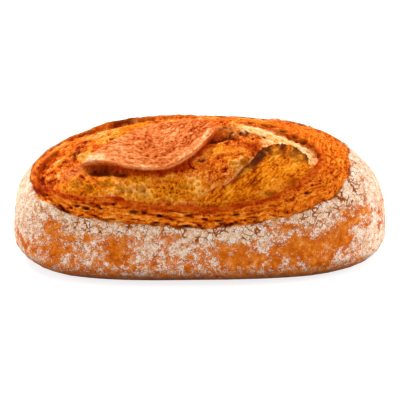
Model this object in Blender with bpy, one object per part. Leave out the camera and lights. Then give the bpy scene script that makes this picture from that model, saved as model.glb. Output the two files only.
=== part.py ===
# A long oval sourdough loaf, about 30 cm long, baked in one piece.
#
# The loaf stands on a flat base at Z = 0, long side along X, with the origin under its middle.
# It starts as a box sliced into a lattice. Every point of the lattice is moved out to its place
# on the plain form of the loaf, and the torn top is then raised and sunk along the surface
# normals: the rim of the tear, the band below the broken edge, the long flap and the ridge.

import math

import bmesh
import bpy
from mathutils import Vector

MM = 0.001

# Driving dimensions, in metres
LENGTH = 0.300
WIDTH = 0.157
HEIGHT = 0.109
GIRTH_Z = 0.022  # the height at which the loaf is widest

# Proportions of the plain form
FOOT_SHARE = 0.78  # the flat base against the widest plan
CROWN_POWER = 2.44  # how square the shoulders are above the girth
FOOT_POWER = 2.15  # how square the turn under the girth is
PLAN_POWER = 2.6  # how square the plan is from the girth up
FOOT_PLAN_POWER = 3.4  # the same at the foot
CAP_SHARE = 0.82  # the plan share at which the top of the lattice meets its sides

# Cells of the lattice along X, along Y and up the sides
CELLS_X = 58
CELLS_Y = 33
CELLS_UP = 16

# The edge of the torn top: its bearing round the loaf in degrees, 0 at +X, and its height in mm
RIM = (
    (-160, 65.5), (-128, 54), (-104, 50.5), (-88, 48), (-66, 54.5), (-50, 62.5), (-34, 73),
    (-12, 80), (16, 78), (30, 87), (47, 96), (90, 103), (133, 97), (150, 86), (172, 68),
)

# Edges inside the tear, in mm. The band's edge is on the front wall, as X and height, and the
# others are X and Y. Each edge is high on the left of its own direction.
BAND_EDGE = (
    (90, 87.5), (81, 82), (59, 72), (34, 68), (10, 64), (-18, 66), (-48, 65.5), (-62, 70),
    (-93, 69), (-121, 67),
)
TOP_EDGES = {
    "flap_lip": (
        (-103, -49), (-90, -45), (-72, -48), (-49, -55), (-25, -56), (-8, -47), (3, -35), (12, -22),
    ),
    "flap_back": ((12, -8), (-12, 0), (-36, -6), (-50, -10), (-62, -19), (-77, -28)),
    "ridge": ((45, -40), (34, -52), (19, -62), (5, -68)),
    "shield_top": ((83, -37), (70, -30), (56, -33), (45, -40)),
    "streak": ((42, -9), (58, -18), (78, -25), (90, -34)),
}

# The steps at those edges: rise of the high side, fall of the low side and fade length, in mm
EDGE_STEPS = {
    "flap_lip": (3.5, 3.5, 15),
    "flap_back": (1.5, 3.0, 10),
    "band_edge": (0.5, 3.0, 10),
    "ridge": (2.5, 3.0, 9),
    "shield_top": (1.5, 1.5, 7),
}
STREAK_DEPTH = 2.0 * MM
STREAK_WIDTH = 6.0 * MM
TEAR_DEPTH = 1.2 * MM  # the tear's surface under the crust at its rim
EAR_RISE = 1.8 * MM  # the lifted edge of crust along the back of the tear


def crown_height(share):
    """The height above the base of the plain form where its plan has shrunk to this share."""
    inside = max(0.0, 1.0 - share * share)
    return GIRTH_Z + (HEIGHT - GIRTH_Z) * inside ** (1.0 / CROWN_POWER)


def crown_share(height):
    """The share of the plan at a height between the girth and the top."""
    rise = (height - GIRTH_Z) / (HEIGHT - GIRTH_Z)
    return math.sqrt(max(0.0, 1.0 - max(0.0, rise) ** CROWN_POWER))


def plan_point(across, along, share, power, height):
    """The point at this height in the direction (across, along) of the plan."""
    size = (abs(across) ** power + abs(along) ** power) ** (1.0 / power)
    scale = share / size if size > 0.0 else 0.0
    return Vector((0.5 * LENGTH * across * scale, 0.5 * WIDTH * along * scale, height))


def square_to_disc(a, b):
    return a * math.sqrt(1.0 - 0.5 * b * b), b * math.sqrt(1.0 - 0.5 * a * a)


def side_profile(level):
    """(share, height, plan power) up the side, from the foot at level 0 to the cap at level 1."""
    turn = 0.32  # the part of the side that lies under the girth
    if level < turn:
        angle = 0.5 * math.pi * (1.0 - level / turn)
        share = FOOT_SHARE + (1.0 - FOOT_SHARE) * math.cos(angle) ** (2.0 / FOOT_POWER)
        height = GIRTH_Z * (1.0 - math.sin(angle) ** (2.0 / FOOT_POWER))
        power = PLAN_POWER + (FOOT_PLAN_POWER - PLAN_POWER) * angle / (0.5 * math.pi)
        return share, height, power
    rise = (level - turn) / (1.0 - turn)
    height = GIRTH_Z + rise * (crown_height(CAP_SHARE) - GIRTH_Z)
    return crown_share(height), height, PLAN_POWER


def place_on_loaf(corner):
    """Where a point of the box, in -1 to 1 each way, lies on the plain form."""
    across, along = square_to_disc(corner.x, corner.y)
    if corner.z < 1.0 - 1e-6:
        share, height, power = side_profile(0.5 * (corner.z + 1.0))
        return plan_point(across, along, share, power, height)
    share = CAP_SHARE * math.hypot(across, along)
    return plan_point(across, along, share, PLAN_POWER, crown_height(share))


def share_at(x, y):
    across, along = abs(2.0 * x / LENGTH), abs(2.0 * y / WIDTH)
    return (across**PLAN_POWER + along**PLAN_POWER) ** (1.0 / PLAN_POWER)


def on_top(x, y):
    return Vector((x * MM, y * MM, crown_height(share_at(x * MM, y * MM))))


def on_front(x, height):
    """The point of the front wall at this X and height, both in mm."""
    share = crown_share(height * MM)
    across = min(1.0, abs(2.0 * x * MM / LENGTH) / share)
    along = share * (1.0 - across**PLAN_POWER) ** (1.0 / PLAN_POWER)
    return Vector((x * MM, -0.5 * WIDTH * along, height * MM))


def smooth(value):
    value = min(1.0, max(0.0, value))
    return value * value * (3.0 - 2.0 * value)


def rim_height(x, y):
    """The height of the tear's edge at the bearing of a point of the plan, in metres."""
    bearing = math.degrees(math.atan2(2.0 * y / WIDTH, 2.0 * x / LENGTH))
    knots = [(RIM[-1][0] - 360, RIM[-1][1]), *RIM, (RIM[0][0] + 360, RIM[0][1])]
    for (start, low), (end, high) in zip(knots, knots[1:]):
        if start <= bearing <= end:
            return MM * (low + (high - low) * smooth((bearing - start) / (end - start)))
    return MM * RIM[0][1]


def rounded(points, pieces=5):
    """A smooth line through the points, with this many straight pieces between two of them."""
    ends = [points[0] * 2 - points[1], *points, points[-1] * 2 - points[-2]]
    line = []
    for before, start, end, after in zip(ends, ends[1:], ends[2:], ends[3:]):
        for piece in range(pieces):
            t = piece / pieces
            bend = (end - before) * t + (before * 2 - start * 5 + end * 4 - after) * t**2
            line.append(start + (bend + (start * 3 - before - end * 3 + after) * t**3) * 0.5)
    return [*line, points[-1]]


def nearest_on_path(point, path):
    """(distance, offset vector, direction, share of the way along) at the nearest place of a path."""
    best = None
    for index, (start, end) in enumerate(zip(path, path[1:])):
        run = end - start
        part = min(1.0, max(0.0, (point - start).dot(run) / run.length_squared))
        offset = point - (start + run * part)
        if best is None or offset.length < best[0]:
            best = (offset.length, offset, run, (index + part) / (len(path) - 1))
    return best


def step_at(point, normal, path, raised, sunk, reach):
    """The raise of a broken edge: high to the left of its path, low to the right, fading out."""
    distance, offset, run, along = nearest_on_path(point, path)
    side = run.cross(offset).dot(normal)
    fade = math.exp(-distance / reach)
    ends = smooth(4.0 * along) * smooth(4.0 * (1.0 - along))
    turn = smooth(0.5 + 0.5 * math.copysign(distance, side) / (3.0 * MM))
    return ends * fade * (raised * turn - sunk * (1.0 - turn))


def trough_at(point, path, depth, width):
    distance = nearest_on_path(point, path)[0]
    return -depth * math.exp(-((distance / width) ** 2))


def relief(point, normal, edges):
    """How far the surface stands above the plain form at a point, in metres."""
    above_rim = point.z - rim_height(point.x, point.y)
    torn = smooth(0.5 + above_rim / (5.0 * MM))
    if torn == 0.0:
        return 0.0
    raised = -TEAR_DEPTH
    for name, (high, low, reach) in EDGE_STEPS.items():
        raised += step_at(point, normal, edges[name], high * MM, low * MM, reach * MM)
    raised += trough_at(point, edges["streak"], STREAK_DEPTH, STREAK_WIDTH)
    ear = smooth(point.y / (20 * MM)) * math.exp(-((above_rim / (6 * MM)) ** 2))
    return torn * raised + EAR_RISE * ear


def edge_lines():
    lines = {name: [on_top(*spot) for spot in spots] for name, spots in TOP_EDGES.items()}
    lines["band_edge"] = [on_front(*spot) for spot in BAND_EDGE]
    return {name: rounded(line) for name, line in lines.items()}


def sliced_box():
    """A closed box from -1 to 1, cut into the lattice's cells, with one flat face below."""
    bm = bmesh.new()
    bmesh.ops.create_cube(bm, size=2.0)
    for axis, cells in ((0, CELLS_X), (1, CELLS_Y), (2, CELLS_UP)):
        direction = Vector((axis == 0, axis == 1, axis == 2))
        for cut in range(1, cells):
            everything = bm.verts[:] + bm.edges[:] + bm.faces[:]
            place = direction * (2.0 * cut / cells - 1.0)
            bmesh.ops.bisect_plane(bm, geom=everything, plane_co=place, plane_no=direction)
    below = [face for face in bm.faces if face.normal.z < -0.5]
    bmesh.ops.dissolve_faces(bm, faces=below)
    return bm


def crust_material():
    material = bpy.data.materials.new("baked_crust")
    material.use_nodes = True
    shader = material.node_tree.nodes["Principled BSDF"]
    shader.inputs["Base Color"].default_value = (0.56, 0.19, 0.035, 1.0)
    shader.inputs["Roughness"].default_value = 0.62
    shader.inputs["Metallic"].default_value = 0.0
    return material


def make_loaf():
    bm = sliced_box()
    for vertex in bm.verts:
        vertex.co = place_on_loaf(vertex.co)
    bm.normal_update()
    edges = edge_lines()
    moves = [vertex.normal * relief(vertex.co, vertex.normal, edges) for vertex in bm.verts]
    for vertex, move in zip(bm.verts, moves):
        vertex.co += move
    bmesh.ops.recalc_face_normals(bm, faces=bm.faces)

    mesh = bpy.data.meshes.new("loaf")
    bm.to_mesh(mesh)
    bm.free()
    mesh.shade_smooth()
    mesh.set_sharp_from_angle(angle=math.radians(50))
    mesh.materials.append(crust_material())
    loaf = bpy.data.objects.new("loaf", mesh)
    bpy.context.scene.collection.objects.link(loaf)
    return loaf


for old in list(bpy.data.objects):
    bpy.data.objects.remove(old, do_unlink=True)
make_loaf()
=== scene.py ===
import math

import bpy
import numpy as np
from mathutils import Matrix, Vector, noise


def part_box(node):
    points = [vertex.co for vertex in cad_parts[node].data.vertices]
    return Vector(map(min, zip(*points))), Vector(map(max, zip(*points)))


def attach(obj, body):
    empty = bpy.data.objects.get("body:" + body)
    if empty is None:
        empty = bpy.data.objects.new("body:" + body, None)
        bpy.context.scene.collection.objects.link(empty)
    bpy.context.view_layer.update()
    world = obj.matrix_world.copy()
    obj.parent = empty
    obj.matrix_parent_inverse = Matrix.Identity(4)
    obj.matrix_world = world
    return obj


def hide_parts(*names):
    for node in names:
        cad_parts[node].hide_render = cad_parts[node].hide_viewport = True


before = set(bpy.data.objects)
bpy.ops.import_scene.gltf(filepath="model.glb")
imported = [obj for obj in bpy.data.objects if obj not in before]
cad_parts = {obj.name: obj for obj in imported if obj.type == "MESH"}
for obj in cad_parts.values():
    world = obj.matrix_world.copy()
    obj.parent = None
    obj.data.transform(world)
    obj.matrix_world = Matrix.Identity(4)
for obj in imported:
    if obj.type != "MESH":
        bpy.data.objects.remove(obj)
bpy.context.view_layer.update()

# A floured sourdough loaf with a torn top. Lengths are millimetres until the mesh is written.
mm = 0.001

loafForm = {
    "girthHeight": 22.0,    # where the loaf is widest
    "footShare": 0.78,      # the flat base against the widest plan
    "crownPower": 2.44,     # how square the shoulders are
    "footPower": 2.15,      # how square the turn under the girth is
    "planPower": 2.6,       # how square the plan is from the girth up
    "footPlanPower": 3.4,   # and at the foot
    "capShare": 0.82,       # where the top grid hands over to the rings round the sides
    "cellsAlong": 300,      # about 0.8 mm a cell
    "cellsAcross": 158,
    "ringsUp": 108,
    "ringsUnder": 10,
}

boxLow, boxHigh = (Vector(corner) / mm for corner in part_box("loaf"))
halfLength = 0.5 * (boxHigh.x - boxLow.x)
halfWidth = 0.5 * (boxHigh.y - boxLow.y)
crownTop = boxHigh.z
girth = loafForm["girthHeight"]


def crownHeight(share):
    # height of the plain form where its plan has shrunk to this share
    inside = np.clip(1.0 - np.square(share), 0.0, 1.0)
    return girth + (crownTop - girth) * inside ** (1.0 / loafForm["crownPower"])


def crownShare(height):
    rise = np.clip((height - girth) / (crownTop - girth), 0.0, 1.0)
    return np.sqrt(1.0 - rise ** loafForm["crownPower"])


def planShare(x, y):
    power = loafForm["planPower"]
    return (np.abs(x / halfLength) ** power + np.abs(y / halfWidth) ** power) ** (1.0 / power)


def topPoint(x, y):
    return np.array([x, y, float(crownHeight(planShare(x, y)))])


def wallPoint(x, height):
    # the point of the front wall at this x and height
    share = float(crownShare(height))
    power = loafForm["planPower"]
    across = min(1.0, abs(x / halfLength) / share)
    return np.array([x, -halfWidth * share * (1.0 - across ** power) ** (1.0 / power), height])


def placed(across, along, share, power, height):
    # points in the plan direction (across, along), at this share of the plan
    size = (np.abs(across) ** power + np.abs(along) ** power) ** (1.0 / power)
    scale = np.divide(share, size, out=np.zeros_like(size), where=size > 1e-9)
    return np.stack([halfLength * across * scale, halfWidth * along * scale, height], axis=-1)


def sideProfile(rings):
    # (share, height, power) of each ring from the cap's edge down to the foot, evenly spaced
    turn = np.linspace(0.0, 0.5 * math.pi, 200)
    footCurve = 2.0 / loafForm["footPower"]
    footShares = loafForm["footShare"] + (1.0 - loafForm["footShare"]) * np.cos(turn).clip(0) ** footCurve
    footHeights = girth * (1.0 - np.sin(turn) ** footCurve)
    footPowers = np.interp(turn, [0.0, 0.5 * math.pi], [loafForm["planPower"], loafForm["footPlanPower"]])
    wallHeights = np.linspace(float(crownHeight(loafForm["capShare"])), girth, 200)[:-1]
    shares = np.concatenate([crownShare(wallHeights), footShares])
    heights = np.concatenate([wallHeights, footHeights])
    powers = np.concatenate([np.full(len(wallHeights), loafForm["planPower"]), footPowers])
    meanRadius = 0.5 * (halfLength + halfWidth)
    steps = np.hypot(np.diff(shares) * meanRadius, np.diff(heights))
    reached = np.concatenate([[0.0], np.cumsum(steps)])
    wanted = np.linspace(0.0, reached[-1], rings + 1)[1:]
    return tuple(np.interp(wanted, reached, values) for values in (shares, heights, powers))


def plainLoaf():
    # points, quads and triangles of the plain form: the cap's quads, then each ring's, then the middle
    nx, ny = loafForm["cellsAlong"], loafForm["cellsAcross"]
    a, b = np.meshgrid(np.linspace(-1, 1, nx + 1), np.linspace(-1, 1, ny + 1), indexing="ij")
    across = (a * np.sqrt(1.0 - 0.5 * b * b)).ravel()
    along = (b * np.sqrt(1.0 - 0.5 * a * a)).ravel()
    share = loafForm["capShare"] * np.hypot(across, along)
    points = [placed(across, along, share, loafForm["planPower"], crownHeight(share))]
    index = np.arange((nx + 1) * (ny + 1)).reshape(nx + 1, ny + 1)
    quads = [np.stack([index[:-1, :-1], index[1:, :-1], index[1:, 1:], index[:-1, 1:]], -1).reshape(-1, 4)]
    edge = np.concatenate([index[:-1, 0], index[-1, :-1], index[:0:-1, -1], index[0, :0:-1]])
    edgeAcross, edgeAlong = across[edge], along[edge]
    ring, following = edge, np.roll(edge, -1)
    count, total = len(edge), len(across)
    under = np.linspace(1.0, 0.0, loafForm["ringsUnder"] + 2)[1:-1]
    shares, heights, powers = sideProfile(loafForm["ringsUp"])
    shares = np.concatenate([shares, loafForm["footShare"] * under])
    heights = np.concatenate([heights, np.zeros(len(under))])
    powers = np.concatenate([powers, np.full(len(under), powers[-1])])
    for ringShare, height, power in zip(shares, heights, powers):
        level = np.full(count, height)
        points.append(placed(edgeAcross, edgeAlong, np.full(count, ringShare), power, level))
        below = np.arange(total, total + count)
        quads.append(np.stack([ring, below, np.roll(below, -1), following], axis=-1))
        ring, following = below, np.roll(below, -1)
        total += count
    points.append(np.zeros((1, 3)))
    middle = np.full(count, total)
    triangles = np.stack([ring, middle, following], axis=-1)
    return np.concatenate(points), np.concatenate(quads), triangles


# the mesh laid flat on a square sheet for baking, in millimetres
flatSheet = {
    "side": 360.0,
    "gap": 2.5,        # between two pieces
    "long": 261.0,     # the cap and the long walls
    "short": 146.0,    # the walls at the ends
    "cap": 134.0,      # the cap's depth
    "wall": 90.0,      # every wall's height
    "under": 0.36,     # the underside's scale
}


def flatLayout(points, quads, triangles):
    # where each face's corners lie on the sheet: the cap, the four walls and the underside, side by side
    nx, ny, rings = loafForm["cellsAlong"], loafForm["cellsAcross"], loafForm["ringsUp"]
    gap, long, short, wall = (flatSheet[name] for name in ("gap", "long", "short", "wall"))
    i, j = (cells.reshape(-1, 1) for cells in np.indices((nx, ny)))
    i, j = i + [0, 1, 1, 0], j + [0, 0, 1, 1]
    cap = np.stack([gap + i * long / nx, gap + j * flatSheet["cap"] / ny], axis=-1)
    ring, column = (cells.reshape(-1, 1) for cells in np.indices((rings, 2 * (nx + ny))))
    down = (ring + [0, 1, 1, 0]) * wall / rings
    walls = np.zeros((len(column), 4, 2))
    top, right = 2 * gap + flatSheet["cap"], 2 * gap + long
    for first, cells, left, low, turned in (
        (0, nx, gap, top, False), (nx, ny, right, gap, True),
        (nx + ny, nx, gap, top + wall + gap, False), (2 * nx + ny, ny, right, 2 * gap + short, True),
    ):
        here = ((column >= first) & (column < first + cells))[:, 0]
        forward = (column[here] - first + [0, 0, 1, 1]) * (short if turned else long) / cells
        if turned:
            walls[here] = np.stack([left + down[here], low + forward], axis=-1)
        else:
            walls[here] = np.stack([left + forward, low + wall - down[here]], axis=-1)
    scale = flatSheet["under"]
    middle = (right + 0.5 * wall, 3 * gap + 2 * short + scale * halfWidth)
    flipped = points[:, :2] * (1, -1) * scale + middle
    under = [flipped[faces] for faces in (quads[len(cap) + len(walls):], triangles)]
    pieces = [piece.reshape(-1, 2) for piece in (cap, walls, *under)]
    return np.concatenate(pieces) / flatSheet["side"]


def smooth(value):
    value = np.clip(value, 0.0, 1.0)
    return value * value * (3.0 - 2.0 * value)


def smoothLine(points, pieces=6):
    # a smooth line through the points (Catmull-Rom), as a dense row of points
    points = np.array(points)
    ends = np.concatenate([[2 * points[0] - points[1]], points, [2 * points[-1] - points[-2]]])
    t = np.arange(pieces)[:, None] / pieces
    row = []
    for before, start, end, after in zip(ends, ends[1:], ends[2:], ends[3:]):
        bend = (end - before) * t + (2 * before - 5 * start + 4 * end - after) * t**2
        row.append(start + 0.5 * (bend + (3 * start - before - 3 * end + after) * t**3))
    return np.concatenate([*row, points[-1:]])


def besideLine(points, normals, line):
    # signed distance (+ on the left of the line), millimetres along it, and offset from it
    best = np.full(len(points), np.inf)
    signed = np.full(len(points), 1e3)
    along = np.zeros(len(points))
    offset = np.zeros_like(points)
    passed = 0.0
    for start, end in zip(line, line[1:]):
        run = end - start
        length = float(np.linalg.norm(run))
        part = np.clip((points - start) @ run / length**2, 0.0, 1.0)
        away = points - (start + part[:, None] * run)
        distance = np.linalg.norm(away, axis=1)
        side = np.einsum("ij,ij->i", np.cross(run, away), normals)
        nearer = distance < best - 1e-9
        best = np.where(nearer, distance, best)
        signed = np.where(nearer, np.copysign(distance, side), signed)
        along = np.where(nearer, passed + part * length, along)
        offset = np.where(nearer[:, None], away, offset)
        passed += length
    return signed, along, offset, passed


def grain(points, size, seed=0.0):
    # smooth noise, about -0.7 to 0.7, whose lumps are this many millimetres across
    scaled = points / np.asarray(size) + seed * 17.31
    return np.array([noise.noise(spot) for spot in scaled.tolist()])


def bubbles(points, size, seed=0.0):
    # 0 in the middle of a bubble, 1 on the wall between two
    scaled = points / np.asarray(size) + seed * 11.73
    near = np.array([noise.voronoi(spot)[0][:2] for spot in scaled.tolist()])
    return near[:, 0] / np.maximum(near[:, 1], 1e-6)


def stretched(points, lengthwise, along, across):
    # coordinates for a grain that runs this way: long along it, short across it
    way = np.array(lengthwise) / np.linalg.norm(lengthwise)
    forward = points @ way
    rest = points - forward[:, None] * way
    return rest / across + forward[:, None] * way / along


def patch(points, centre, size, turn=0.0, sharp=2.0):
    # a soft oval spot, 1 in its middle. size is its half length and half width
    away = points - centre
    turned = math.radians(turn)
    level = math.cos(turned) * away[:, 0] + math.sin(turned) * away[:, 1]
    flat = np.linalg.norm(away, axis=1) ** 2 - level**2
    reach = (level / size[0]) ** 2 + np.clip(flat, 0, None) / size[1] ** 2
    return np.exp(-(reach ** (0.5 * sharp)))


# the rim of the tear: its height at bearings round the loaf, 0 at +X, going up through +Y
rimHeights = {
    -160: 65.5, -143: 60, -128: 54.5, -116: 51.5, -104: 50.5, -91: 48, -78: 50, -66: 54.5, -50: 62.5,
    -34: 73, -24: 77, -12: 80, 16: 78, 30: 87, 47: 96, 90: 103, 133: 97, 150: 86, 172: 68,
}

# the torn edges inside it, each from one end to the other
bandEdge = smoothLine([
    topPoint(34, -1), topPoint(46, -5), topPoint(58, -8), topPoint(69, -11), topPoint(78, -15),
    topPoint(86, -20), topPoint(92, -29), wallPoint(90, 86.5), wallPoint(81, 81.5), wallPoint(70, 76.5),
    wallPoint(59, 72.5), wallPoint(48, 68.5), wallPoint(34, 67.5), wallPoint(20, 65), wallPoint(8, 63.5),
    wallPoint(-18, 65.5), wallPoint(-38, 65), wallPoint(-50, 65.5), wallPoint(-58, 67.5),
    wallPoint(-63, 70.5), wallPoint(-78, 69.5), wallPoint(-93, 68.5), wallPoint(-108, 68),
    wallPoint(-119, 69), topPoint(-125, -33), topPoint(-125, -18), topPoint(-119, -5), topPoint(-108, 6),
])
flapLip = smoothLine([
    topPoint(-97, -36), topPoint(-91, -36), topPoint(-85, -37), topPoint(-78, -39.5), topPoint(-69, -43.5),
    topPoint(-58, -48), topPoint(-48, -51), topPoint(-36, -52.5), topPoint(-26, -52), topPoint(-17, -49),
    topPoint(-8, -43.5), topPoint(1.5, -33.5), topPoint(8, -24), topPoint(13.5, -13),
])
flapBack = smoothLine([
    topPoint(16, -6), topPoint(0, 2), topPoint(-14, 3), topPoint(-24, -3), topPoint(-36, -5),
    topPoint(-49, -8), topPoint(-61, -16), topPoint(-73, -24), topPoint(-84, -30),
])
ridgeLip = smoothLine([
    topPoint(50, -37), topPoint(44, -41), topPoint(38, -49), topPoint(30, -55), topPoint(24, -60),
    topPoint(18, -63), wallPoint(11, 77), wallPoint(4, 74), wallPoint(-4, 69),
])
shieldTop = smoothLine([
    topPoint(84, -41), topPoint(82, -36), topPoint(77, -32), topPoint(70, -29.5), topPoint(60, -30),
    topPoint(54, -33), topPoint(46, -39),
])
shieldFoot = smoothLine([
    wallPoint(86, 81.5), wallPoint(70, 75.5), wallPoint(59, 71.5), wallPoint(34, 66.5), wallPoint(8, 62.5),
    wallPoint(-4, 64),
])
streakLine = smoothLine([
    topPoint(38, -3), topPoint(46, -9.5), topPoint(54, -15), topPoint(63, -20), topPoint(71, -24),
    topPoint(78, -27), topPoint(83, -31),
])

# how each edge stands: its rise and fall and how far they fade, how far it leans over, its teeth
edgeSteps = {
    "flap": {"line": flapLip, "rise": 3.6, "riseReach": 22, "fall": 5.6, "fallReach": 12,
             "lean": 2.2, "width": 2.6, "teeth": 0.35, "toothSize": 9, "ends": (13, 9)},
    "flapBack": {"line": flapBack, "rise": 1.8, "riseReach": 14, "fall": 5.2, "fallReach": 9,
                 "lean": 0.9, "width": 2.6, "teeth": 1.0, "toothSize": 5, "ends": (14, 12)},
    "band": {"line": bandEdge, "rise": 1.3, "riseReach": 7, "fall": 3.0, "fallReach": 9,
             "lean": 1.3, "width": 1.8, "teeth": 1.1, "toothSize": 4.5, "ends": (75, 14)},
    "ridge": {"line": ridgeLip, "rise": 3.4, "riseReach": 7, "fall": 4.0, "fallReach": 10,
              "lean": 1.9, "width": 2.2, "teeth": 0.9, "toothSize": 5, "ends": (6, 16)},
    "shield": {"line": shieldTop, "rise": 2.8, "riseReach": 8, "fall": 2.6, "fallReach": 7,
               "lean": 1.6, "width": 1.8, "teeth": 3.6, "toothSize": 3.0, "ends": (5, 1)},
}


def rimAt(points):
    # the rim's height at each point's bearing
    bearings = np.degrees(np.arctan2(points[:, 1] / halfWidth, points[:, 0] / halfLength))
    again = ((bearing + 360, height) for bearing, height in rimHeights.items())
    knots = np.array([*rimHeights.items(), *again], float)
    bearings = np.where(bearings < knots[0, 0], bearings + 360, bearings)
    place = np.clip(np.searchsorted(knots[:, 0], bearings, side="right") - 1, 0, len(knots) - 2)
    (start, low), (end, high) = knots[place].T, knots[place + 1].T
    return low + (high - low) * smooth((bearings - start) / (end - start))


def rimLine():
    turns = np.radians(np.arange(0, 361, 3))
    flat = np.stack([halfLength * np.cos(turns), halfWidth * np.sin(turns), np.zeros_like(turns)], axis=-1)
    heights = rimAt(flat)
    return placed(np.cos(turns), np.sin(turns), crownShare(heights), loafForm["planPower"], heights)


def insideOf(points, *lines):
    # whether each point's plan lies inside the outline that these lines make together
    outline = np.concatenate(lines)[:, :2]
    inside = np.zeros(len(points), bool)
    for (x1, y1), (x2, y2) in zip(outline, np.roll(outline, -1, axis=0)):
        crosses = (y1 > points[:, 1]) != (y2 > points[:, 1])
        if y1 != y2:
            inside ^= crosses & (points[:, 0] < (x2 - x1) * (points[:, 1] - y1) / (y2 - y1) + x1)
    return inside


def stepAt(points, normals, step, seed):
    # how far an edge raises each point, and how far it pulls it sideways to lean over
    signed, along, offset, length = besideLine(points, normals, step["line"])
    onLine = points - offset
    teeth = grain(onLine, step["toothSize"], seed) + 0.5 * grain(onLine, 0.45 * step["toothSize"], seed + 1)
    shifted = signed + step["teeth"] * teeth * np.exp(-np.abs(signed) / 4.0) * 1.6
    startFade, endFade = step["ends"]
    ends = smooth(along / startFade) * smooth((length - along) / endFade)
    high = smooth(0.5 + 0.5 * shifted / (0.5 * step["width"]))
    rise = step["rise"] * np.exp(-np.abs(shifted) / step["riseReach"])
    fall = step["fall"] * np.exp(-np.abs(shifted) / step["fallReach"])
    lift = ends * (rise * high - fall * (1.0 - high))
    pull = -step["lean"] * ends * np.exp(-((shifted / step["width"]) ** 2))
    sideways = offset - np.einsum("ij,ij->i", offset, normals)[:, None] * normals
    return lift, pull[:, None] * sideways, shifted, along, ends


def topSpots(*rows):
    return [(topPoint(x, y), *rest) for x, y, *rest in rows]


def wallSpots(*rows):
    return [(wallPoint(x, height), *rest) for x, height, *rest in rows]


# holes where bubbles of gas tore open, carved and painted dark inside as painted shade: x, y or height,
# half length, half width, depth, turn
darkHoles = topSpots(
    (-101, -18, 4.8, 1.8, 3.6, 25), (-96, -20, 1.4, 1.8, 2.6, 0), (-107, -23, 2.6, 1.6, 2.2, 30),
    (-110, -26, 2.4, 1.5, 2.0, 30), (-125, -10, 5.0, 0.9, 2.6, 55), (-131, -12, 4.5, 0.8, 2.4, 75),
    (-134, -19, 4.0, 0.8, 2.0, 95), (-116, 4, 5.0, 0.9, 2.0, 40), (71, -14, 2.3, 1.2, 2.6, -10),
    (76, -15, 1.8, 1.2, 2.6, -10), (82, -15, 4.6, 2.4, 3.6, -15), (89, -19, 2.3, 1.3, 2.6, -35),
    (41, 5, 3.4, 1.1, 1.2, -5), (54, 3.5, 5.4, 1.6, 1.6, -8), (66, -2.5, 4.0, 1.4, 1.4, -20),
    (75, -9.5, 3.6, 1.2, 1.4, -28), (93, -29, 2.8, 1.0, 2.6, 85), (100, -11, 1.8, 1.0, 2.0, 0),
    (110, 3, 3.2, 0.9, 2.2, 60), (114, -22, 2.6, 0.9, 2.0, 80), (13, -26, 7.0, 2.6, 3.4, 8),
    (22, -25, 5.0, 1.2, 2.0, 0), (-26, 4, 6.0, 2.2, 2.8, 5), (0, -46, 3.0, 2.0, 2.0, 10),
    (-80, -45, 12.0, 4.6, 4.0, -14), (-62, 8, 2.6, 1.6, 2.2, 30), (-64, -51, 8.0, 2.2, 2.4, -16),
    (-74, -20, 1.7, 1.3, 1.6, 0), (-69, -12, 1.9, 1.4, 1.6, 20), (-66, -17, 1.5, 1.1, 1.4, 0),
    (-60, -6, 2.0, 1.4, 1.6, 20), (-77, -26, 1.6, 1.2, 1.4, 0), (-53, -1, 2.2, 1.2, 1.6, 15),
    (-72, -4, 1.6, 1.2, 1.4, 0), (-62, 4, 2.2, 1.4, 1.6, 20),
) + wallSpots(
    (-96, 61.5, 3.6, 1.1, 2.2, 0), (-89, 61, 4.4, 1.4, 2.6, 0), (-78, 61.5, 2.6, 1.0, 1.8, 0),
    (-53, 60.5, 4.2, 1.4, 2.6, 0), (-45, 60, 2.4, 1.2, 2.2, 0), (-70, 54.5, 8.5, 0.8, 1.8, 0),
    (-33, 58, 3.0, 1.0, 2.0, 0), (-11, 58, 3.2, 1.0, 2.0, 0), (-36, 53, 3.6, 0.9, 1.8, 0),
    (-13, 50.5, 5.0, 0.9, 2.0, 0), (12, 54, 4.0, 0.9, 2.0, 0), (25, 58, 3.0, 0.9, 1.8, 0),
    (38, 56, 4.4, 0.8, 1.8, 0), (80, 70, 2.8, 1.4, 2.0, 35),
)
goldenHoles = topSpots(
    (-91, -28, 4.2, 3.0, 2.2, 20), (-127, -22, 3.0, 1.6, 1.8, 60), (54, 1, 7.5, 3.6, 2.0, -8),
    (42, 3, 4.4, 2.2, 1.4, -5), (66, -5, 5.0, 3.2, 1.8, -20), (75, -12, 5.4, 2.8, 1.8, -28),
    (33, -48, 4.6, 3.4, 1.8, 40),
) + wallSpots(
    (-96, 75, 4.2, 3.2, 1.8, 0), (-88, 74, 3.6, 3.0, 1.6, 0), (-74, 78, 5.0, 3.2, 1.8, 0),
    (-62, 75.5, 3.6, 2.8, 1.6, 0), (-56, 75, 3.2, 2.8, 1.6, 0), (-47, 75.5, 4.0, 2.8, 1.6, 0),
    (-15, 78, 5.0, 2.4, 1.4, 0), (-44, 72, 3.0, 2.4, 1.4, 0), (52, 72, 6.5, 2.0, 1.4, 5),
    (70, 78.5, 7.0, 2.4, 1.4, 25),
)
# where the crumb opened: x, y or height, half length, half width, turn, strength
crumbAreas = topSpots(
    (-66, -9, 17, 8, 28, 1.0), (-54, 6, 14, 8, 12, 0.9), (-91, -28, 7, 6, 0, 0.8),
    (29, -50, 9, 8, 45, 0.9), (20, -40, 24, 12, 20, 0.5), (89, -38, 10, 9, 0, 0.8),
    (58, 2, 14, 4, -10, 0.8),
) + wallSpots(
    (-48, 76, 72, 13, 0, 1.0), (62, 76, 26, 6, 18, 0.7), (-100, 74, 14, 8, 0, 0.7),
)
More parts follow.
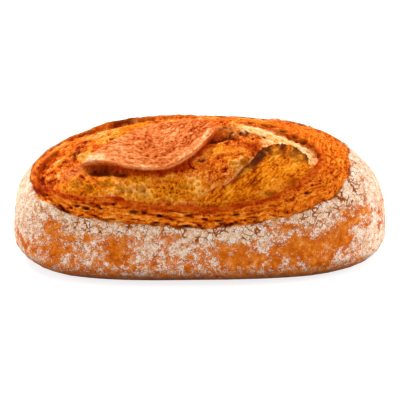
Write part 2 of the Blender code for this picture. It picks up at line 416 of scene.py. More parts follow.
# strands that baked red, and dark spots: corners that baked nearly black and the painted shade of the
# cavity right of the flap's tip. x, y or height, half length, half width, turn
redStreaks = topSpots(
    (3, -51, 6, 3, 40), (16, -43, 8, 2.4, 30), (17, -64, 9, 1.6, 50), (6, -60, 9, 1.8, 35),
    (36, -33, 12, 3, 15), (-14, -57, 12, 1.8, 10), (28, -34, 8, 2.5, 20),
) + wallSpots(
    (-66, 79, 13, 1.5, 0), (-45, 78, 10, 1.4, 0), (-30, 81.5, 12, 1.6, 0),
)
burntAndShadedSpots = topSpots(
    (20, -13, 8, 5.0, 10), (24, -21, 10, 4.0, 5), (36, -18, 13, 4.5, -8), (49, -19, 5, 2.0, -15),
    (-97, -20, 9, 4, 30),
)
# the parts of the crust that flour never reached: x, height, half length, half height
bareCrust = wallSpots(
    (92, 31, 33, 15), (132, 40, 13, 13), (-124, 24, 28, 15), (-116, 44, 12, 8), (-60, 37, 12, 6),
    (-28, 40, 10, 6), (20, 24, 26, 8), (62, 48, 14, 5),
)
# the middle of the ear of crust that stands up along the back
earMiddle = topPoint(-58, 27)


def tearPlaces(points, normals):
    # how far each point lies from the rim and the edges inside it, and how the edges move it
    above = (points[:, 2] > rimAt(points)) & (points[:, 2] > girth)
    away, _, offset, _ = besideLine(points, normals, rimLine())
    away = np.where(above, 1.0, -1.0) * np.abs(away)
    wander = 1.5 * grain(points, 7.0, 1) + 0.9 * grain(points, 2.6, 2)
    place = {"rim": away + wander * np.exp(-np.abs(away) / 4.0), "onRim": points - offset}
    place["rimWay"] = offset - np.einsum("ij,ij->i", offset, normals)[:, None] * normals
    onTop = smooth((points[:, 2] - girth - 6.0) / 8.0)
    lift = np.zeros(len(points))
    move = np.zeros_like(points)
    for seed, (name, step) in enumerate(edgeSteps.items()):
        up, pull, away, along, ends = stepAt(points, normals, step, 10 * seed)
        lift += up * onTop
        move += pull * onTop[:, None]
        place[name] = away
        place[name + "Along"] = along
        place[name + "Ends"] = ends
    return place, lift, move


def tearZones(points, place):
    # how much of each kind of surface lies at every point, 0 to 1
    torn = smooth(0.5 + place["rim"] / 1.4)
    front = 1.0 - smooth((points[:, 1] + 6.0) / 26.0)
    high = points[:, 2] > 50
    flapIn = insideOf(points, flapLip, flapBack) & high
    flapGap = np.where(flapIn, 1.0, -1.0) * np.minimum(np.abs(place["flap"]), np.abs(place["flapBack"]))
    shieldIn = insideOf(points, ridgeLip[::-1], shieldTop[::-1], shieldFoot) & high
    shieldGap = np.minimum(np.abs(place["ridge"]), np.abs(place["shield"]))
    shieldGap = np.where(shieldIn, 1.0, -1.0) * shieldGap
    zones = {"torn": torn, "front": front}
    zones["flap"] = torn * smooth(0.5 + flapGap / 1.2)
    zones["shield"] = torn * smooth(0.5 + shieldGap / 1.2)
    layers = np.maximum(smooth(0.5 + place["band"] / 1.4), smooth(1.4 - place["rim"] / 6.0))
    zones["band"] = torn * front * layers
    frayed = 3.0 * grain(points, 6.0, 61) + 2.4 * grain(points, 2.8, 62)
    streak = smooth(0.5 + (9.0 + frayed - np.abs(besideLine(points, points, streakLine)[0])) / 4.0)
    streak *= (1.0 - zones["shield"]) * smooth(0.5 - place["band"] / 1.5)
    zones["streak"] = streak * torn
    crumb = np.zeros(len(points))
    for spot, long, wide, turn, amount in crumbAreas:
        crumb = np.maximum(crumb, amount * patch(points, spot, (long, wide), turn, 4.0))
    crumb *= torn * (1.0 - zones["flap"]) * (1.0 - zones["band"]) * (1.0 - zones["streak"])
    broken = 0.5 * grain(points, 9.0, 20) + 0.3 * grain(points, 4.0, 21)
    crumb = smooth(crumb + broken * (crumb > 0.02))
    zones["crumb"] = crumb * (1.0 - 0.8 * zones["shield"] * (place["ridge"] < 10))
    zones["shield"] = zones["shield"] * (1.0 - 0.8 * zones["crumb"])
    fold = patch(points, topPoint(-101, -39), (13, 6), 22.0, 4.0) * (1.0 - zones["crumb"])
    zones["flap"] = np.maximum(zones["flap"], 0.85 * torn * fold * (1.0 - zones["band"]))
    rest = (1.0 - zones["band"]) * (1.0 - zones["flap"]) * (1.0 - zones["crumb"])
    zones["rough"] = torn * rest * (1.0 - zones["streak"])
    return zones


def crumbDetail(points):
    # the open crumb: large bubbles with thin light walls, small ones between, and strands across them
    warped = points + 1.4 * np.stack([grain(points, 6.0, 30 + k) for k in range(3)], axis=-1)
    large = bubbles(warped, (6.6, 5.2, 5.2), 1) ** 2
    small = bubbles(warped, 2.9, 2) ** 2
    size = smooth(0.5 + 1.6 * grain(points, 15.0, 33))
    strands = np.exp(-((grain(warped, (5.0, 2.6, 2.6), 34) / 0.07) ** 2))
    relief = 2.9 * size * (large - 0.45) + (1.1 - 0.6 * size) * (small - 0.45) + 0.5 * strands
    # painted shade in the bubbles' hollows and a painted highlight on the raised walls and strands
    tone = 0.18 + 0.70 * size * large + (0.50 - 0.28 * size) * small + 0.22 * strands
    return relief, tone + 0.35 * grain(points, 16.0, 35)


def roughDetail(points):
    # torn, toasted dough: lumps, short strands and pits
    lumps, fine = grain(points, 6.0, 41), grain(points, 2.4, 42)
    pits = smooth((grain(points, 3.0, 40) - 0.20) * 5.0)
    strands = np.exp(-((grain(stretched(points, (0.8, 0.45, 0.2), 7.0, 2.2), 1.0, 44) / 0.08) ** 2))
    relief = 0.9 * lumps + 0.45 * fine - 0.9 * pits + 0.35 * strands
    # painted shade in the pits and a painted highlight on the raised lumps and strands, over real mottling
    tone = 0.46 + 0.40 * lumps + 0.25 * fine - 0.3 * pits + 0.14 * strands + 0.4 * grain(points, 14.0, 43)
    tone -= 0.12 * smooth((-70.0 - points[:, 0]) / 25.0)
    return relief, tone


def bandDetail(points, place):
    # thin layers drawn out along the band, torn apart in places
    onRim, rim = place["onRim"], place["rim"]
    bent = rim + 1.3 * grain(points, 13.0, 53) + 0.5 * grain(points, 5.0, 54)
    layered = np.stack([onRim[:, 0] / 14.0, onRim[:, 1] / 14.0, bent / 2.1], axis=-1)
    slits = np.stack([onRim[:, 0] / 6.5, onRim[:, 1] / 6.5, bent / 2.4], axis=-1)
    layer = grain(layered, 1.0, 50)
    slit = smooth((grain(slits, 1.0, 52) - 0.36) * 7.0)
    strands = np.exp(-((layer / 0.07) ** 2)) * (grain(points, 8.0, 55) > -0.1)
    fine = grain(points, 2.0, 51)
    top = np.exp(-(np.clip(place["band"], 0, None) / 4.5) ** 2)
    relief = (1.0 - 0.5 * top) * 0.9 * layer + 0.25 * fine - 1.6 * slit * (1.0 - top) + 0.45 * strands
    # painted shade in the slits and a painted highlight on the raised layers and strands
    tone = 0.49 + 0.50 * layer + 0.1 * fine - 0.4 * slit * (1.0 - top) + 0.24 * strands - 0.12 * top
    end = smooth((points[:, 0] - 45.0) / 25.0)
    pits = smooth((grain(points, 2.6, 56) - 0.25) * 6.0)
    relief = relief * (1.0 - 0.6 * end) + end * (0.4 * grain(points, 3.2, 57) - 0.6 * pits)
    # painted shade in the pits towards the end
    tone = tone * (1.0 - 0.6 * end) + end * (0.32 + 0.16 * grain(points, 2.4, 57) - 0.2 * pits)
    return relief, tone


def flapDetail(points, place):
    # fine pleats and pits of the flap, with smooth threads along its lip
    alongLip = np.stack([place["flapAlong"] / 7.0, place["flap"] / 2.0, points[:, 2] / 6.0], axis=-1)
    pleats = grain(alongLip, 1.0, 60)
    fine = grain(points, 1.8, 61)
    pits = smooth((grain(points, 2.2, 62) - 0.26) * 6.0)
    relief = 0.9 * pleats + 0.25 * fine - 0.5 * pits
    # painted shade in the pits and a painted highlight on the raised pleats
    tone = 0.49 + 0.40 * pleats + 0.1 * fine - 0.3 * pits + 0.2 * grain(points, 17.0, 67)
    threads = np.stack([place["flapAlong"] / 18.0, place["flap"] / 1.5, np.zeros(len(points))], axis=-1)
    threads = grain(threads, 1.0, 66)
    # a painted highlight along the lip: its tone raised to pale peach over the threads
    onLip = place["flapEnds"] * np.exp(-(((place["flap"] - 2.5) / 3.4) ** 2))
    relief += onLip * (0.8 * threads - relief)
    tone += onLip * (0.74 + 0.6 * threads - tone)
    pale = patch(points, topPoint(-82, -36), (14, 7), 0.0, 4.0)
    return relief, tone - 0.06 + 0.22 * pale - 0.10 * smooth((points[:, 0] + 30.0) / 40.0)


def shieldDetail(points, place):
    # seams running down from the ridge, fading into fine-grained dough
    seams = grain(stretched(points, (-0.73, -0.5, -0.46), 11.0, 1.5), 1.0, 64)
    fine = grain(points, 1.9, 65)
    near = np.exp(-np.clip(place["ridge"], 0, None) / 17.0)
    pits = smooth((grain(points, 2.4, 68) - 0.30) * 6.0)
    relief = near * 1.1 * seams + 0.25 * fine - 0.4 * pits
    # painted shade in the pits and a painted highlight on the raised seams
    tone = 0.54 + 0.65 * near * seams + 0.15 * fine - 0.2 * pits - 0.10 * near
    return relief, tone + 0.35 * grain(points, 10.0, 69)


def streakDetail(points):
    # pale threads pulled out between the shield and the back
    threads = grain(stretched(points, (0.86, -0.36, -0.3), 11.0, 1.3), 1.0, 63)
    gaps = smooth((grain(points, 3.4, 64) - 0.12) * 5.0)
    # painted shade in the gaps and a painted highlight on the raised threads
    return 0.9 * threads - 0.7 * gaps, 0.66 + 0.8 * threads - 0.34 * gaps


# how the flour lies: widths and reaches in millimetres, and the rest as shares
flourLook = {
    "stripWidth": 14.0, "stripSway": 11.0, "stripFade": 9.0, "stripAtEnds": 22.0,
    "endsFrom": 112.0, "endsReach": 26.0,
    "patchy": 0.455, "patchySlow": 0.42, "patchyFine": 0.40, "patchyAtEnds": 0.3,
    "bareStrength": 0.44, "bareReach": 30.0,
    "lessBehind": 0.35, "lessOnEar": 1.4,
}


def crustDetail(points, place, torn):
    # slow swells and dimples of the crust, and how thickly flour lies on it
    swell = 1.0 * grain(points, 34.0, 70) + 0.5 * grain(points, 13.0, 71)
    blister = smooth((grain(points, 5.0, 72) - 0.1) * 2.5)
    relief = swell + 0.3 * blister + 0.14 * grain(points, 2.4, 73)
    relief *= (1.0 - torn) * smooth(points[:, 2] / 6.0)
    look = flourLook
    ends = smooth((np.abs(points[:, 0]) - look["endsFrom"]) / look["endsReach"])
    width = look["stripWidth"] + look["stripSway"] * grain(points, 20.0, 74) + look["stripAtEnds"] * ends
    strip = smooth(0.5 + (width + place["rim"]) / look["stripFade"])
    patchy = look["patchy"] + look["patchyAtEnds"] * ends
    patchy += look["patchySlow"] * grain(points, 21.0, 75) + look["patchyFine"] * grain(points, 8.0, 76)
    bare = np.zeros(len(points))
    for spot, long, tall in bareCrust:
        away = (points - spot) / (long, look["bareReach"], tall)
        bare = np.maximum(bare, np.exp(-np.einsum("ij,ij->i", away, away)))
    patchy -= look["bareStrength"] * bare
    strip *= 1.0 - 0.8 * bare
    patchy *= 0.15 + 0.85 * smooth((points[:, 2] - 4.0) / 9.0)
    dust = np.maximum(strip * (0.86 + 0.3 * grain(points, 7.0, 77)), np.clip(patchy, 0, 0.8))
    dust *= 1.0 - look["lessBehind"] * smooth(points[:, 1] / 50.0)
    ear = smooth(points[:, 1] / 16.0) * patch(points, earMiddle, (50, 40), 0.0, 4.0)
    dust -= look["lessOnEar"] * ear * np.exp(-((place["rim"] / 7.0) ** 2))
    plates = strip * (1.0 - 0.85 * ends) + 0.25 * np.clip(patchy, 0, 1)
    return relief, np.clip(dust, 0, 1), plates


def burntAndShadedAt(points, place, zones):
    # how dark each point is painted: thin edges and corners that baked dark, and painted shade in the crack
    # along the rim and the cavity right of the flap's tip
    ragged = 1.6 * grain(points, 5.0, 84) + 0.9 * grain(points, 2.0, 85)
    ridgeWidth = 5.6 - 4.0 * smooth(place["ridgeAlong"] / 60.0) + ragged
    ridge = smooth(0.5 + (place["ridge"] + 0.3) / 0.9) * smooth(0.5 + (ridgeWidth - place["ridge"]) / 2.6)
    burnt = (0.92 - 0.5 * smooth(place["ridgeAlong"] / 62.0)) * place["ridgeEnds"] * ridge
    top = smooth(0.5 + place["shield"] / 0.9) * np.exp(-(np.clip(place["shield"], 0, None) / 12.0) ** 2)
    top *= place["shieldEnds"] * zones["torn"] * (place["shield"] < 30)
    burnt = np.maximum(burnt, 0.85 * top * smooth(0.75 + 0.5 * ragged))
    ear = (1.0 - zones["front"]) * np.exp(-((place["rim"] - 0.6) / 1.5) ** 2)
    burnt = np.maximum(burnt, ear * (0.04 + 0.75 * patch(points, topPoint(-61, 27), (11, 30), 0.0, 4.0)))
    edge = zones["band"] * np.exp(-((place["band"] / 1.2) ** 2)) * place["bandEnds"]
    burnt = np.maximum(burnt, 0.45 * edge * smooth(0.6 + 1.5 * grain(points, 12.0, 80)))
    # the crack under the rim's edge painted dark: partly its charred edge, partly painted shade in the
    # crack
    crack = np.exp(-(((place["rim"] - 0.6) / 1.0) ** 2)) * smooth(0.4 + 1.6 * grain(points, 9.0, 81))
    burnt = np.maximum(burnt, 0.7 * crack)
    # char, and painted shade in the cavity right of the flap's tip
    for spot, long, wide, turn in burntAndShadedSpots:
        spread = patch(points, spot, (long, wide), turn, 2.0) * (0.7 + 0.9 * grain(points, 3.0, 82))
        burnt = np.maximum(burnt, spread * zones["torn"] * (1.0 - zones["flap"]))
    return np.clip(burnt, 0, 1)


def redAt(points, place, zones):
    # how far the thin strands and edges baked red
    red = place["flapEnds"] * np.exp(-(((place["flap"] + 2.6) / 2.2) ** 2))
    red = np.maximum(red, 0.9 * zones["band"] * np.exp(-(np.clip(place["band"], 0, None) / 4.6) ** 2))
    red = np.maximum(red, place["ridgeEnds"] * np.exp(-(((place["ridge"] + 0.6) / 0.9) ** 2)))
    inner = (1.0 - zones["front"]) * np.exp(-(((place["rim"] - 3.0) / 2.6) ** 2))
    red = np.maximum(red, 0.5 * inner * patch(points, topPoint(-48, 27), (34, 40), 0.0, 4.0))
    behind = place["flapBackEnds"] * np.exp(-(((place["flapBack"] + 1.2) / 1.6) ** 2))
    red = np.maximum(red, 0.8 * behind)
    for spot, long, wide, turn in redStreaks:
        spread = patch(points, spot, (long, wide), turn, 2.0) * (0.8 + 1.0 * grain(points, 4.0, 83))
        red = np.maximum(red, spread)
    return np.clip(red, 0, 1) * (1.0 - zones["flap"])


def grainWay(points, place, zones):
    # coordinates for the finest grain, which runs along each kind of surface its own way
    rimWise = np.stack([place["onRim"][:, 0], place["onRim"][:, 1], 2.6 * place["rim"]], axis=-1)
    lipWise = np.stack([place["flapAlong"] / 3.4, place["flap"] / 1.15, points[:, 2] / 3.0], axis=-1)
    way = np.where((place["rim"] < 20)[:, None], rimWise / 3.2, points / 1.4)
    for name, flow in (
        ("crumb", points / 1.5), ("band", rimWise / 3.4), ("flap", lipWise),
        ("shield", stretched(points, (-0.73, -0.5, -0.46), 3.0, 1.2)),
        ("streak", stretched(points, (0.86, -0.36, -0.3), 7.0, 1.1)),
    ):
        way = np.where((zones[name] > 0.5)[:, None], flow, way)
    return way


# how the crust's edge stands: millimetres, but for the tone of the painted highlight beside the ridge
crustEdge = {
    "swell": 0.7, "swellReach": 3.0,                    # raised and ragged
    "crack": 1.5, "crackAt": 0.8, "crackWidth": 0.9,    # the crack under it
    "bed": 0.4, "bedSwell": 0.9,                        # the torn top beside it
    "earHeight": 2.2, "earReach": 6.0, "earLean": 1.2,
    "channel": 6.0, "channelReach": 15.0,               # the hollow inside the ear
    "streakDrop": 1.0, "ridgeHighlightTone": 0.45,
    "fullerLeft": 1.8, "fullerRight": 0.6, "shoulder": 2.4,
}


def sculptLoaf(points, normals):
    # moves every point of the plain form to its place on the baked loaf, and says what lies there
    place, lift, move = tearPlaces(points, normals)
    zones = tearZones(points, place)
    torn, front, rim = zones["torn"], zones["front"], place["rim"]
    form = crustEdge

    # the crust's edge, the crack under it, and the ear along the back with its channel
    ragged = 0.5 + grain(place["onRim"], 9.0, 3) + 0.5 * grain(place["onRim"], 3.5, 4)
    lift += form["swell"] * ragged * np.exp(-np.abs(rim) / form["swellReach"]) * (1.0 - torn)
    crack = np.exp(-(((rim - form["crackAt"]) / form["crackWidth"]) ** 2))
    lift -= form["crack"] * np.clip(ragged, 0, 1) * crack
    lift += torn * (form["bedSwell"] * np.exp(-(((rim - 7.0) / 5.5) ** 2)) * front - form["bed"])
    tall = 0.35 + 0.75 * patch(place["onRim"], earMiddle, (36, 40), 0.0, 4.0)
    tall = (1.0 - front) * tall * (0.85 + 0.5 * grain(place["onRim"], 14.0, 5))
    lift += tall * form["earHeight"] * np.exp(-np.abs(rim) / form["earReach"]) * (1.0 - torn)
    channel = np.exp(-((np.clip(rim - 4.0, 0, None) / form["channelReach"]) ** 2))
    lift -= tall * form["channel"] * smooth(rim / 4.0) * channel * torn
    move -= (form["earLean"] * tall * np.exp(-((rim / 2.6) ** 2)))[:, None] * place["rimWay"]
    lift -= form["streakDrop"] * zones["streak"]

    details = {
        "rough": roughDetail(points), "crumb": crumbDetail(points),
        "band": bandDetail(points, place), "shield": shieldDetail(points, place),
        "flap": flapDetail(points, place), "streak": streakDetail(points),
    }
    relief, tone = np.zeros(len(points)), np.full(len(points), 0.5)
    for name, (height, shade) in details.items():
        relief += zones[name] * (height - relief)
        tone += zones[name] * (shade - tone)
    # a painted highlight: a light thread beside the ridge
    tone += form["ridgeHighlightTone"] * place["ridgeEnds"] * np.exp(-(((place["ridge"] + 2.4) / 1.2) ** 2))
    relief *= torn
    hollow, golden = np.zeros(len(points)), np.zeros(len(points))
    # the holes are carved, and their hollow is painted dark further on: painted shade
    for spots, mask in ((darkHoles, hollow), (goldenHoles, golden)):
        for spot, long, wide, depth, turn in spots:
            amount = patch(points, spot, (long, wide), turn, 4.0)
            mask[:] = np.maximum(mask, amount)
            relief -= depth * amount * torn
    crust, dust, plates = crustDetail(points, place, torn)
    lift += relief + crust
    # the ends and one shoulder stand a little fuller than the plain form
    fuller = np.where(points[:, 0] < 0, form["fullerLeft"], form["fullerRight"])
    lift += fuller * smooth((np.abs(points[:, 0]) - 95.0) / 35.0) * smooth((points[:, 2] - 30.0) / 25.0)
    lift += form["shoulder"] * patch(points, topPoint(92, 22), (32, 30), 0.0, 3.0)

    baked = {
        "rimGap": np.clip(rim, -30, 30), "tone": tone, "dust": dust, "plates": plates,
        "crumb": zones["crumb"], "band": zones["band"], "flap": zones["flap"],
        "shield": zones["shield"], "streak": zones["streak"],
        "burnt": burntAndShadedAt(points, place, zones), "red": redAt(points, place, zones),
        "hollow": hollow * torn, "golden": golden * torn, "height": points[:, 2],
    }
    return points + lift[:, None] * normals + move, baked, grainWay(points, place, zones)


def makeLoaf():
    points, quads, triangles = plainLoaf()
    mesh = bpy.data.meshes.new("bakedLoaf")
    mesh.from_pydata((points * mm).tolist(), [], quads.tolist() + triangles.tolist())
    mesh.update()
    normals = np.empty(len(points) * 3, np.float32)
    mesh.vertex_normals.foreach_get("vector", normals)
    print("plain loaf:", len(points), "points")
    sculpted, baked, way = sculptLoaf(points, normals.reshape(-1, 3).astype(float))
    mesh.vertices.foreach_set("co", (sculpted * mm).astype(np.float32).ravel())
    for name, values in baked.items():
        layer = mesh.attributes.new(name, "FLOAT", "POINT")
        layer.data.foreach_set("value", values.astype(np.float32))
    layer = mesh.attributes.new("grainWay", "FLOAT_VECTOR", "POINT")
    layer.data.foreach_set("vector", way.astype(np.float32).ravel())
    flat = flatLayout(points, quads, triangles)
    mesh.uv_layers.new(name="OFBake").data.foreach_set("uv", flat.ravel())
    mesh.polygons.foreach_set("use_smooth", np.ones(len(mesh.polygons), bool))
    mesh.update()
    print("sculpted loaf:", len(mesh.polygons), "faces")
    return mesh


def linear(hexColour):
    # sRGB hex to linear red, green, blue and alpha
    parts = [int(hexColour[i:i + 2], 16) / 255 for i in (1, 3, 5)]
    return (*((c / 12.92 if c <= 0.04045 else ((c + 0.055) / 1.055) ** 2.4) for c in parts), 1.0)


def addNode(tree, kind, settings=None, inputs=None):
    # adds a node, sets its properties, and sets or links its sockets by name or number.
    # "stops" gives the places and colours of a colour ramp
    node = tree.nodes.new(kind)
    for name, value in (settings or {}).items():
        if name == "stops":
            ramp = node.color_ramp
            for _ in value[2:]:
                ramp.elements.new(0.5)
            for element, (position, colour) in zip(ramp.elements, value):
                element.position, element.color = position, linear(colour)
        else:
            setattr(node, name, value)
    for key, value in (inputs or {}).items():
        if isinstance(value, bpy.types.NodeSocket):
            tree.links.new(value, node.inputs[key])
        else:
            node.inputs[key].default_value = value
    return node


def calculate(tree, operation, *values, clamp=False):
    settings = {"operation": operation, "use_clamp": clamp}
    return addNode(tree, "ShaderNodeMath", settings, dict(enumerate(values))).outputs[0]


def remap(tree, value, low, high, start=0.0, end=1.0):
    # goes straight from start to end as the value goes from low to high
    inputs = {0: value, 1: low, 2: high, 3: start, 4: end}
    return addNode(tree, "ShaderNodeMapRange", {}, inputs).outputs[0]


def mixValues(tree, amount, first, second):
    return addNode(tree, "ShaderNodeMix", {}, {0: amount, 2: first, 3: second}).outputs[0]


def mixColours(tree, amount, first, second):
    # the second colour, a socket or hex, over the first
    second = linear(second) if isinstance(second, str) else second
    inputs = {0: amount, 6: first, 7: second}
    return addNode(tree, "ShaderNodeMix", {"data_type": "RGBA"}, inputs).outputs[2]


def colourRamp(tree, value, stops):
    return addNode(tree, "ShaderNodeValToRGB", {"stops": stops}, {0: value}).outputs[0]


# dark to light colours of each kind of surface, by its tone
breadColours = {
    "rough": [(0.0, "#7c1c00"), (0.25, "#be4602"), (0.5, "#e87210"), (0.75, "#f8983c"), (1.0, "#ffc588")],
    "crumb": [(0.0, "#8c3200"), (0.25, "#cc6600"), (0.5, "#ec8606"), (0.75, "#f89e26"), (1.0, "#ffba60")],
    "band": [(0.0, "#581200"), (0.25, "#ac3800"), (0.5, "#dc6606"), (0.75, "#f48e24"), (1.0, "#ffb662")],
    "shield": [(0.0, "#742400"), (0.25, "#be5000"), (0.5, "#e87a04"), (0.75, "#fa9c1e"), (1.0, "#ffbe50")],
    "flap": [(0.0, "#8e2a00"), (0.25, "#c4551a"), (0.5, "#e17a3a"), (0.75, "#f49c60"), (1.0, "#ffcc98")],
    "streak": [(0.0, "#c8681a"), (0.25, "#f59c3e"), (0.5, "#ffb868"), (0.75, "#fec788"), (1.0, "#ffe2ba")],
    "crust": [(0.3, "#8e3800"), (0.42, "#bc5604"), (0.5, "#d2680c"), (0.58, "#e08024"), (0.7, "#eeb078")],
    "flour": [(0.37, "#bd8045"), (0.48, "#e0bb96"), (0.57, "#f4e2d2")],
    "charAndShade": [(0.0, "#8a3406"), (1.0, "#3c140a")],
}
# colours laid over the torn surfaces, and how strongly: golden crumb, red strands, and painted shade in the
# holes
breadStainsAndShade = {"golden": ("#c0720a", 0.6), "red": ("#b02c00", 0.8), "hollow": ("#581400", 0.92)}
# how large each even grain is in millimetres, its detail and its roughness
breadGrains = {
    "specks": (0.55, 2.0, 0.5), "crumbs": (1.1, 3.0, 0.5), "pores": (2.1, 2.0, 0.6),
    "dusting": (4.5, 5.0, 0.7), "crust": (6.0, 6.0, 0.8), "plateSize": (8.0, 2.0, 0.5),
}
breadLook = {
    "strandTone": (-0.25, 0.28),    # how far the finest strands shade the tone
    "poreShade": -0.38,
    "plate": 5.2,                   # plates of cracked flour, across
    "plateWarp": (5.0, 6.0 * mm),   # how large the bends in the cracks are, and how deep
    "crackWidth": 0.09,             # the widest crack, as a share of a plate
    "crackEdge": (0.028, -0.022),
    "crackColour": "#823c0c",
    "flourGrains": (("dusting", 2.0), ("crumbs", 1.3), ("specks", 0.8)),
    "flourEdge": (2.43, 2.66),      # from bare crust to covered
    "flourMost": 0.95,
    "footHeight": (3.0, 17.0), "footMost": 0.97, "footColour": "#4c1e02",
    "darkAt": 0.8, "darkMost": 0.95,
    "crustRoughness": 0.5, "flourRoughness": 0.95, "tornRoughness": 0.58,
    "ior": 1.45, "specular": 0.03,
    "relief": 0.65, "reliefStrength": 0.8,    # millimetres
}


def breadMaterial():
    # hearth-baked bread: floured crust outside, torn crust and open crumb inside
    material = bpy.data.materials.new("hearthBakedBread")
    material.use_nodes = True
    tree = material.node_tree
    shader = tree.nodes["Principled BSDF"]
    look = breadLook
    place = addNode(tree, "ShaderNodeTexCoord").outputs["Object"]
    names = ("rimGap", "tone", "dust", "plates", "crumb", "band", "flap", "shield", "streak",
             "burnt", "red", "hollow", "golden", "height")
    at = {}
    for name in names:
        at[name] = addNode(tree, "ShaderNodeAttribute", {"attribute_name": name}).outputs["Fac"]
    way = addNode(tree, "ShaderNodeAttribute", {"attribute_name": "grainWay"}).outputs["Vector"]
    inputs = {"Vector": way, "Scale": 1.0, "Detail": 2.0, "Roughness": 0.55}
    grains = {"strands": addNode(tree, "ShaderNodeTexNoise", {}, inputs).outputs["Fac"]}
    for name, (size, detail, roughness) in breadGrains.items():
        inputs = {"Vector": place, "Scale": 1.0 / mm / size, "Detail": detail, "Roughness": roughness}
        grains[name] = addNode(tree, "ShaderNodeTexNoise", {}, inputs).outputs["Fac"]

    # the torn surfaces, by their tone with the finest grain added and small pores painted dark as painted
    # shade, and their stains with painted shade in the holes
    strands = remap(tree, grains["strands"], 0.3, 0.7, *look["strandTone"])
    # small pores painted dark: painted shade
    pores = remap(tree, grains["pores"], 0.33, 0.40, look["poreShade"], 0.0)
    tone = calculate(tree, "ADD", calculate(tree, "ADD", at["tone"], strands), pores)
    inside = colourRamp(tree, tone, breadColours["rough"])
    for name in ("crumb", "band", "shield", "flap", "streak"):
        inside = mixColours(tree, at[name], inside, colourRamp(tree, tone, breadColours[name]))
    # golden crumb, red strands, and painted shade in the holes
    for name, (stain, most) in breadStainsAndShade.items():
        amount = calculate(tree, "MULTIPLY", at[name], most, clamp=True)
        inside = mixColours(tree, amount, inside, stain)

    # flour: cracked into plates where it is thick, dusty where it is thin
    size, reach = look["plateWarp"]
    inputs = {"Vector": place, "Scale": 1.0 / mm / size, "Detail": 3.0}
    bend = addNode(tree, "ShaderNodeTexNoise", {}, inputs).outputs["Color"]
    push = addNode(tree, "ShaderNodeVectorMath", {"operation": "SCALE"}, {0: bend, 3: reach})
    warped = addNode(tree, "ShaderNodeVectorMath", {"operation": "ADD"}, {0: place, 1: push.outputs[0]})
    inputs = {"Vector": warped.outputs[0], "Scale": 1.0 / mm / look["plate"]}
    plates = addNode(tree, "ShaderNodeTexVoronoi", {"feature": "DISTANCE_TO_EDGE"}, inputs)
    width = remap(tree, grains["plateSize"], 0.42, 0.62, 0.0, look["crackWidth"])
    edge = calculate(tree, "SUBTRACT", plates.outputs["Distance"], width)
    gap = remap(tree, edge, *look["crackEdge"])
    gap = calculate(tree, "MULTIPLY", gap, at["plates"], clamp=True)
    dusty = at["dust"]
    for name, weight in look["flourGrains"]:
        dusty = calculate(tree, "MULTIPLY_ADD", grains[name], weight, dusty)
    covered = remap(tree, dusty, *look["flourEdge"], 0.0, look["flourMost"])
    flour = calculate(tree, "MULTIPLY", covered, calculate(tree, "SUBTRACT", 1.0, gap))
    crack = calculate(tree, "SUBTRACT", covered, flour)

    # the smooth crust, from orange to brown, darkest towards the foot: partly where it met the oven floor,
    # partly painted shade near the table
    crust = colourRamp(tree, grains["crust"], breadColours["crust"])
    crust = mixColours(tree, crack, crust, look["crackColour"])
    lumpy = mixValues(tree, 0.5, grains["dusting"], grains["crumbs"])
    crust = mixColours(tree, flour, crust, colourRamp(tree, lumpy, breadColours["flour"]))
    # darker towards the foot: real baking on the oven floor and painted shade
    foot = remap(tree, at["height"], *look["footHeight"], look["footMost"], 0.0)
    crust = mixColours(tree, foot, crust, look["footColour"])

    # the line where the crust broke, and what is painted dark: charred edges and corners, and painted shade
    # in the rim's crack and the cavity right of the flap's tip
    edge = calculate(tree, "MULTIPLY_ADD", grains["crumbs"], 1.6, at["rimGap"])
    torn = remap(tree, edge, 0.6, 1.0)
    colour = mixColours(tree, torn, crust, inside)
    amount = remap(tree, at["burnt"], 0.0, look["darkAt"], 0.0, look["darkMost"])
    colour = mixColours(tree, amount, colour, colourRamp(tree, at["burnt"], breadColours["charAndShade"]))
    tree.links.new(colour, shader.inputs["Base Color"])

    # baked crust is a little glossy, flour is not at all
    dull = remap(tree, flour, 0.0, 1.0, look["crustRoughness"], look["flourRoughness"])
    rough = mixValues(tree, torn, dull, look["tornRoughness"])
    tree.links.new(rough, shader.inputs["Roughness"])
    shader.inputs["IOR"].default_value = look["ior"]
    shader.inputs["Specular IOR Level"].default_value = look["specular"]

    # relief finer than the sculpted one
    crustHeight = calculate(tree, "MULTIPLY_ADD", flour, 0.35, grains["crumbs"])
    tornHeight = calculate(tree, "MULTIPLY_ADD", grains["specks"], 0.5, grains["crumbs"])
    inputs = {"Height": mixValues(tree, torn, crustHeight, tornHeight),
              "Distance": look["relief"] * mm, "Strength": look["reliefStrength"]}
    bump = addNode(tree, "ShaderNodeBump", {}, inputs)
    tree.links.new(bump.outputs[0], shader.inputs["Normal"])
    return material


# metres, degrees and watts here
studio = {
    "elevation": 22.0, "azimuth": -1.9,
    "distance": 1.285, "lens": 143.2, "lookAt": 0.041,
    "worldStrength": 0.42,
    "floorReach": 6.0, "floorColour": "#a8a8a8", "floorGlow": 0.8, "floorRoughness": 0.9,
    "lightsAim": (0, 0, 0.05),
    # place, size, power
    "keyLight": ((-0.7, 0.7, 1.3), 0.6, 22.0),
    "topLight": ((0.2, 0.0, 1.6), 1.4, 11.5),
    "leftLight": ((-1.2, 0.0, 0.4), 0.6, 3.5),
    "rightLight": ((1.2, 0.1, 0.4), 0.6, 9.5),
}


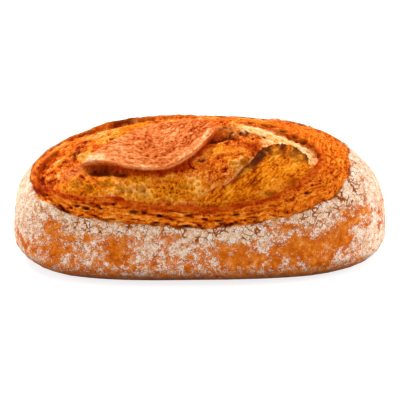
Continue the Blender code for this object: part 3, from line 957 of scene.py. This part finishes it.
def makeStudio():
    reach = studio["floorReach"]
    corners = [(-reach, -reach, 0), (reach, -reach, 0), (reach, reach, 0), (-reach, reach, 0)]
    floorMesh = bpy.data.meshes.new("floor")
    floorMesh.from_pydata(corners, [], [(0, 1, 2, 3)])
    floor = bpy.data.objects.new("floor", floorMesh)
    bpy.context.scene.collection.objects.link(floor)
    paper = bpy.data.materials.new("litAcrylicTable")
    paper.use_nodes = True
    shader = paper.node_tree.nodes["Principled BSDF"]
    shader.inputs["Base Color"].default_value = linear(studio["floorColour"])
    shader.inputs["Emission Color"].default_value = (1, 1, 1, 1)
    shader.inputs["Emission Strength"].default_value = studio["floorGlow"]
    shader.inputs["Roughness"].default_value = studio["floorRoughness"]
    floorMesh.materials.append(paper)

    world = bpy.data.worlds.new("studio")
    world.use_nodes = True
    background = world.node_tree.nodes["Background"]
    background.inputs["Color"].default_value = (1, 1, 1, 1)
    background.inputs["Strength"].default_value = studio["worldStrength"]
    bpy.context.scene.world = world

    for name in ("keyLight", "topLight", "leftLight", "rightLight"):
        place, size, power = studio[name]
        lamp = bpy.data.lights.new(name, "AREA")
        lamp.size = size
        lamp.energy = power
        light = bpy.data.objects.new(name, lamp)
        light.location = place
        aim = Vector(studio["lightsAim"]) - Vector(place)
        light.rotation_euler = aim.to_track_quat("-Z", "Y").to_euler()
        bpy.context.scene.collection.objects.link(light)

    turn, tilt = math.radians(studio["azimuth"]), math.radians(studio["elevation"])
    back = Vector((math.sin(turn) * math.cos(tilt), -math.cos(turn) * math.cos(tilt), math.sin(tilt)))
    camera = bpy.data.objects.new("camera", bpy.data.cameras.new("camera"))
    camera.data.lens = studio["lens"]
    camera.location = Vector((0, 0, studio["lookAt"])) + back * studio["distance"]
    camera.rotation_euler = (-back).to_track_quat("-Z", "Y").to_euler()
    bpy.context.scene.collection.objects.link(camera)
    bpy.context.scene.camera = camera
    bpy.context.scene.view_settings.view_transform = "Standard"


makeStudio()
loafMesh = makeLoaf()
loafMesh.materials.append(breadMaterial())
loaf = bpy.data.objects.new("bakedLoaf", loafMesh)
bpy.context.scene.collection.objects.link(loaf)
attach(loaf, "root")
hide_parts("loaf")

bpy.context.view_layer.update()
